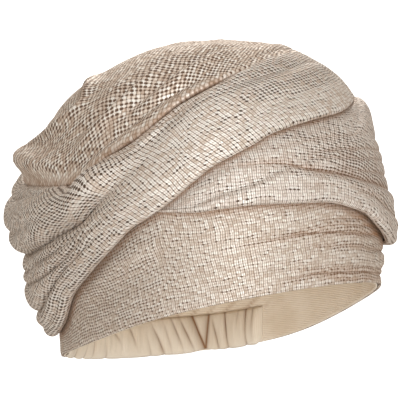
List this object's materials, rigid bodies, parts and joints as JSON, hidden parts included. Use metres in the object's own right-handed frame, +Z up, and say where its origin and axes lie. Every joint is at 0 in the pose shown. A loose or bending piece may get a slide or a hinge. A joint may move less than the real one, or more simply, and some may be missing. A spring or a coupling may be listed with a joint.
{
  "type": "turban",
  "caption": "Ready-made head wrap of metallic mesh knit: brow band, crossed wrap and slanting pleated sash under a domed crown cloth, with a jersey lining and gathered elastic nape.",
  "frame": {"origin": "centre of the head opening at the level where it crosses the wearer's ears, in the middle of the rim seen from above", "axes": "+Z up along the wearer's head, -Y towards the wearer's face, +X towards the wearer's left ear"},
  "size_m": [0.1938, 0.2372, 0.1882],
  "materials": {
    "metallic_mesh_knit": "open mesh knit with a satin metallic face, champagne",
    "lining_jersey": "matt plain jersey, light beige",
    "casing_jersey": "matt plain jersey gathered over elastic, light beige"
  },
  "bodies": {
    "root": {"lining": "lining_jersey", "elastic_casing": "casing_jersey", "brow_band": "metallic_mesh_knit", "middle_wrap": "metallic_mesh_knit", "sash": "metallic_mesh_knit", "crown_cloth": "metallic_mesh_knit"}
  },
  "joints": []
}
